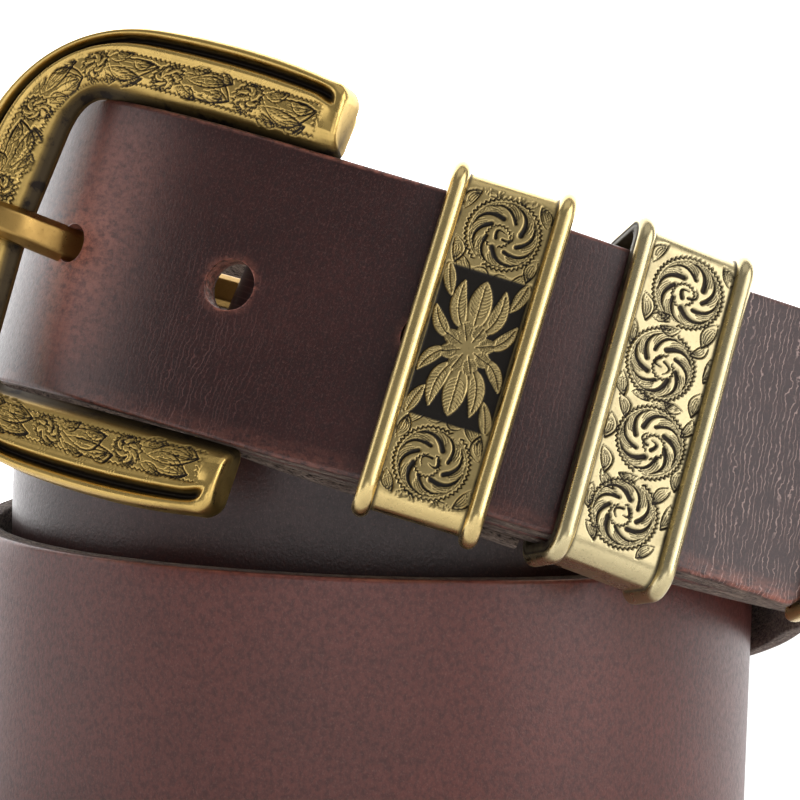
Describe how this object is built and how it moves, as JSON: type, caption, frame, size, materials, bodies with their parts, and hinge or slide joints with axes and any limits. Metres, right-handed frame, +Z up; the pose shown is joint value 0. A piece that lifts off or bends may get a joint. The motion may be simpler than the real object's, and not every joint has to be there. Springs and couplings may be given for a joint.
{
  "type": "buckled and coiled western belt",
  "caption": "Leather western belt, buckled and coiled on its edge, with a horseshoe frame buckle, prong, box keepers and metal tip.",
  "frame": {"origin": "bottom centre of the coiled belt's bounding box, on the surface that its lower edge stands on", "axes": "+Z up through the coil's open middle, -Y towards the buckle's front, +X towards the free end with the metal tip"},
  "size_m": [0.146, 0.1158, 0.104],
  "materials": {
    "strap_leather": "dark brown waxed full-grain leather with raw cut edges",
    "engraved_brass": "antiqued brass, dark in the engraving and rubbed bright on the rails",
    "polished_brass": "smooth rubbed brass",
    "stud_steel": "plain steel"
  },
  "bodies": {
    "root": {"strap_buckle_end": "strap_leather", "strap_outer_turn": "strap_leather", "strap_inner_turn": "strap_leather", "strap_tip_end": "strap_leather", "buckle_frame": "engraved_brass", "prong": "polished_brass", "keeper_1": "engraved_brass", "keeper_2": "engraved_brass", "belt_tip": "engraved_brass", "fold_stud_1": "stud_steel", "fold_stud_2": "stud_steel"}
  },
  "joints": []
}
